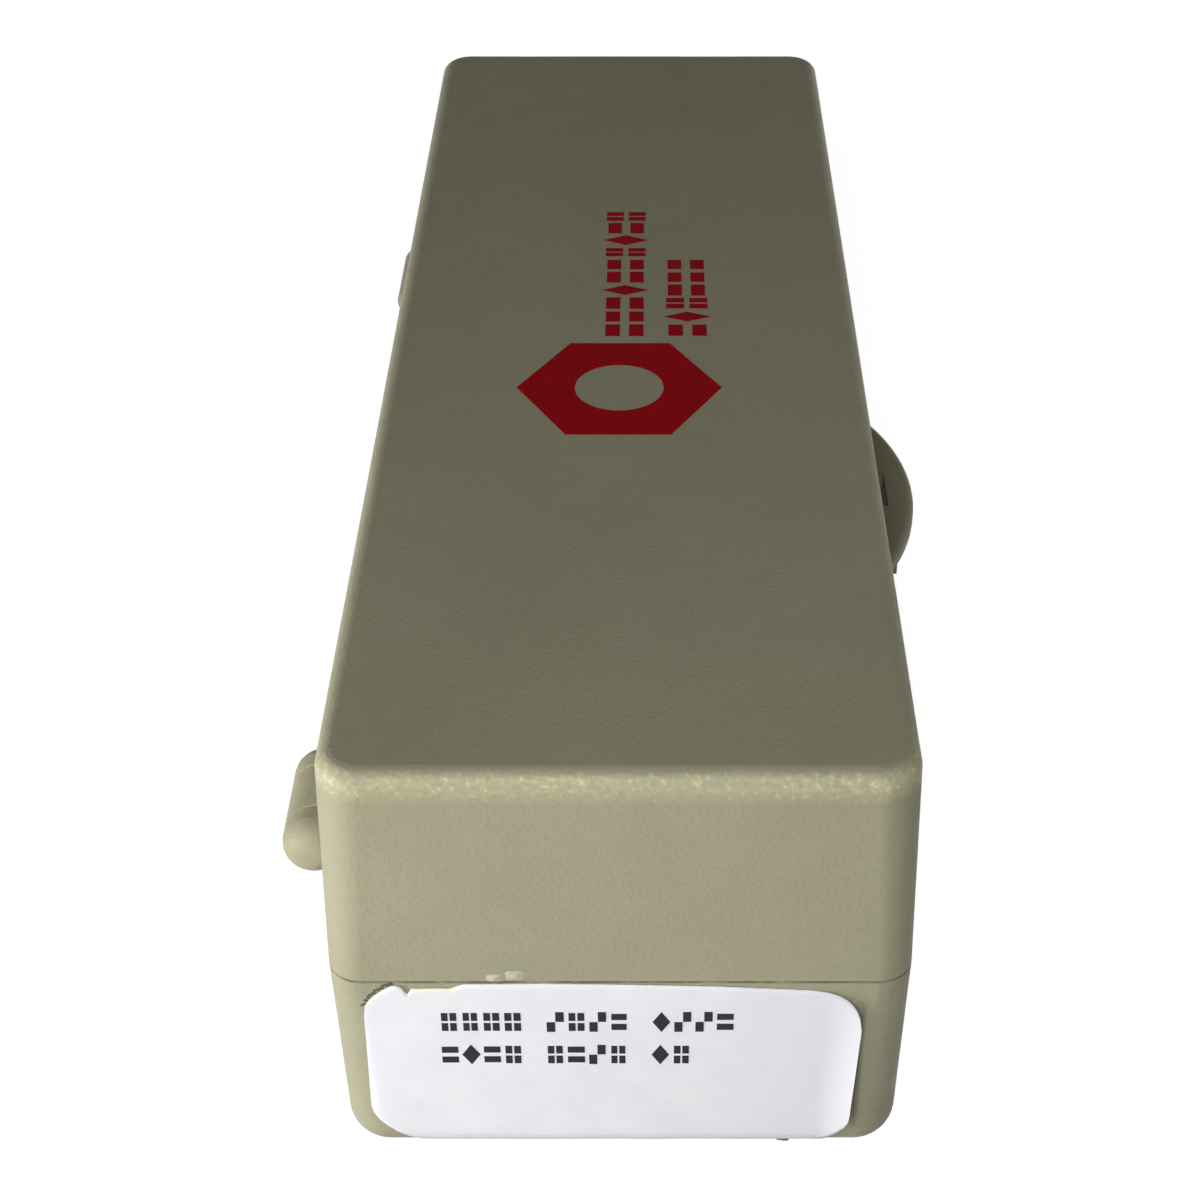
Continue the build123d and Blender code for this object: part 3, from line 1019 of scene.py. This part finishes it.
def flake(shape, centre, size, thickness, seed, square=False):
    p = flakeForm
    rng = random.Random(seed)
    corners = p["corners"]
    rim = []
    for i in range(corners):
        angle = 2 * math.pi * i / corners
        across, up = math.cos(angle), math.sin(angle)
        reach = rng.uniform(*p["squareReach" if square else "roundReach"])
        if square:
            reach /= max(abs(across), abs(up)) ** p["squareness"]
        rim.append(shape.verts.new(centre + Vector((size[0] * reach * across, 0, size[1] * reach * up))))
    front = shape.verts.new(centre + Vector((size[0] * p["offMiddle"], -thickness, size[1] * p["offMiddle"])))
    back = shape.verts.new(centre + Vector((0, thickness * p["backBulge"], 0)))
    for i in range(corners):
        j = (i + 1) % corners
        shape.faces.new((rim[i], rim[j], front))
        shape.faces.new((rim[j], rim[i], back))


# Paper left on the lid just above the label, glue specks along the torn corner, and a crumb under the lower edge,
# in millimetres: each scrap's x, height above the seam, half width, half height and seed; the glue line's x and depth
# below the seam; the crumb's x, height above the bench, half width and half height
scraps = {
    "lidPaper": ((-12.4, 0.6, 0.82, 0.5, 3), (-10.35, 0.95, 0.98, 0.64, 8)),
    "paperThickness": 0.2 * mm,
    "glueCount": 46,
    "glueSeed": 7,
    "glueLine": ((-25.6, 3.4), (-25.15, 2.55), (-24.7, 1.8), (-23.95, 1.05), (-23.2, 0.5), (-22.4, 0.2)),
    "glueScatter": 0.12 * mm,
    "glueWide": (0.14, 0.3),
    "glueHigh": (0.12, 0.22),
    "glueThickness": 0.06 * mm,
    "glueBelowSeam": 0.08 * mm,
    "crumb": (17.0, 0.75, 1.0, 0.6),
    "crumbSeed": 21,
    "crumbThickness": 0.4 * mm,
    "crumbStandsOff": 0.15 * mm,
}


def makeScraps(p):
    shape = bmesh.new()
    for x, above, wide, high, seed in p["lidPaper"]:
        x, z = x * mm, parting + above * mm
        centre = Vector((x, frontSkin(x, z, "lid"), z))
        flake(shape, centre, (wide * mm, high * mm), p["paperThickness"], seed, square=True)
    addPiece("paperScraps", meshFrom(shape, "paperScraps"), scrapMat, "lid", smooth=False)

    rng = random.Random(p["glueSeed"])
    scatter = p["glueScatter"] / mm
    shape = bmesh.new()
    for i in range(p["glueCount"]):
        x, below = onOutline(p["glueLine"], i / (p["glueCount"] - 1))
        x += rng.uniform(-scatter, scatter) * mm
        z = parting - max(below + rng.uniform(-scatter, scatter) * mm, p["glueBelowSeam"])
        size = (rng.uniform(*p["glueWide"]) * mm, rng.uniform(*p["glueHigh"]) * mm)
        flake(shape, Vector((x, frontSkin(x, z), z)), size, p["glueThickness"], i)
    x, z, wide, high = (value * mm for value in p["crumb"])
    centre = Vector((x, frontSkin(x, z) - p["crumbStandsOff"], z))
    flake(shape, centre, (wide, high), p["crumbThickness"], p["crumbSeed"])
    addPiece("glueSpecks", meshFrom(shape, "glueSpecks"), dirtMat, "base", smooth=False)


# Both speckled finishes share their clouds and roughness
speckled = {"clouds": (2500, 2.5), "roughness": (0.6, 0.85)}
dirtLook = {"dark": (0.035, 0.03, 0.02), "pale": (0.13, 0.115, 0.085)}
scrapLook = {"dark": (0.42, 0.40, 0.31), "pale": (0.56, 0.54, 0.43)}


def makeSpeckled(name, p, surface):
    mat, tree, shader = newMaterial(name)
    tone = cloudTone(tree, objectPlace(tree), *surface["clouds"])
    tree.links.new(mixColour(tree, tone, p["dark"], p["pale"]), shader.inputs["Base Color"])
    tree.links.new(remap(tree, tone, 0, 1, *surface["roughness"]), shader.inputs["Roughness"])
    return mat


dirtMat = makeSpeckled("gluedDirt", dirtLook, speckled)
scrapMat = makeSpeckled("paperScrap", scrapLook, speckled)
makeScraps(scraps)
print("label ready")


# Die-cut foam sheets: the CAD solid's copy, remeshed, its cut edges eased and its faces left uneven by broad and
# fine waves, each given as waves per metre and share
foamWaves = ((140, 0.6), (900, 0.4))
foamSheets = {
    "base_foam_nest": {"piece": "nestFoam", "voxel": 0.8 * mm, "ease": 4, "rough": 0.16 * mm, "shrink": 0.15 * mm},
    "base_foam_floor": {"piece": "floorFoam", "voxel": 1.2 * mm, "ease": 3, "rough": 0.2 * mm, "shrink": 0.15 * mm},
}


def makeFoamSheet(node, p):
    shape = bmesh.new()
    shape.from_mesh(nodes[node].data)
    bmesh.ops.remove_doubles(shape, verts=shape.verts[:], dist=sameSpot)
    holder = addObject("holder", meshFrom(shape, p["piece"]))
    remesh = holder.modifiers.new("voxels", "REMESH")
    remesh.mode = "VOXEL"
    remesh.voxel_size = p["voxel"]
    ease = holder.modifiers.new("ease", "SMOOTH")
    ease.factor = 0.5
    ease.iterations = p["ease"]
    soft = bakeMesh(holder)
    normals = [v.normal.copy() for v in soft.vertices]
    for vert, normal in zip(soft.vertices, normals):
        uneven = sum(share * noise.noise(vert.co * wavesPerMetre) for wavesPerMetre, share in foamWaves)
        vert.co += normal * (p["rough"] * uneven - p["shrink"])
    piece = addPiece(p["piece"], soft, foamMat, "base")
    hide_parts(node)


for node, look in foamSheets.items():
    makeFoamSheet(node, look)


# Convoluted pad in the lid: rows of rounded peaks and pits on its lower face, flat against the roof
lidPad = {"pitch": 15.2 * mm, "depth": 7.5 * mm, "cell": 1.0 * mm, "taper": 0.62 * mm, "inset": 0.25 * mm}


def makeEggTree():
    tree, given, out = newTree("eggPad", {
        "Width": ("Float", 0.05), "Length": ("Float", 0.16), "Height": ("Float", 0.02), "Pitch": ("Float", 0.015),
        "Depth": ("Float", 0.007), "Cell": ("Float", 0.001), "Taper": ("Float", 0.0005), "Foam": ("Material", None),
    })
    counts = [math2(tree, "CEIL", math2(tree, "DIVIDE", given[side], given["Cell"])) for side in ("Width", "Length")]
    grid = addNode(tree, "GeometryNodeMeshGrid", {
        "Size X": given["Width"], "Size Y": given["Length"], "Vertices X": counts[0], "Vertices Y": counts[1],
    })
    place = tree.nodes.new("GeometryNodeInputPosition").outputs[0]
    axes = splitAxes(tree, place)
    waves = []
    for axis in ("X", "Y"):
        turns = math2(tree, "DIVIDE", axes[axis], given["Pitch"])
        waves.append(math2(tree, "SINE", times(tree, turns, 2 * math.pi)))
    rise = times(tree, math2(tree, "ADD", times(tree, *waves, 0.5), 0.5), given["Depth"])
    wavy = addNode(tree, "GeometryNodeSetPosition", {"Geometry": grid.outputs[0], "Offset": vector(tree, z=rise)})
    lower = addNode(tree, "GeometryNodeFlipFaces", {"Mesh": wavy.outputs[0]}).outputs[0]
    raised = addNode(tree, "GeometryNodeExtrudeMesh", {
        "Mesh": wavy.outputs[0], "Offset": vector(tree, z=1.0), "Offset Scale": given["Height"], "Individual": False,
    })
    drawnIn = []  # X and Y of the top, tapered so that the pad clears the lid's leaning walls
    for axis, side in (("X", "Width"), ("Y", "Length")):
        taper = math2(tree, "DIVIDE", given["Taper"], times(tree, given[side], 0.5))
        drawnIn.append(times(tree, axes[axis], minus(tree, 1.0, taper)))
    flat = vector(tree, *drawnIn, given["Height"])
    roof = addNode(tree, "GeometryNodeSetPosition", {
        "Geometry": raised.outputs["Mesh"], "Selection": raised.outputs["Top"], "Position": flat,
    })
    closed = joinAll(tree, roof.outputs[0], lower)
    merged = addNode(tree, "GeometryNodeMergeByDistance", {"Geometry": closed, "Distance": sameSpot})
    solid = tree.nodes.new("GeometryNodeRealizeInstances")
    tree.links.new(merged.outputs[0], solid.inputs[0])
    dressed = addNode(tree, "GeometryNodeSetMaterial", {"Geometry": solid.outputs[0], "Material": given["Foam"]})
    tree.links.new(dressed.outputs[0], out["Geometry"])
    return tree


def makeLidPad(p):
    low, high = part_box("lid_foam")
    mesh = runTree(makeEggTree(), {
        "Width": high.x - low.x - 2 * p["inset"], "Length": high.y - low.y - 2 * p["inset"],
        "Height": high.z - low.z, "Pitch": p["pitch"], "Depth": p["depth"], "Cell": p["cell"],
        "Taper": p["taper"], "Foam": foamMat,
    })
    mesh.transform(Matrix.Translation(((low.x + high.x) / 2, (low.y + high.y) / 2, low.z)))
    piece = addPiece("eggPad", mesh, foamMat, "lid")
    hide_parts("lid_foam")


makeLidPad(lidPad)
print("foam ready")

bpy.context.scene.view_settings.view_transform = "Standard"
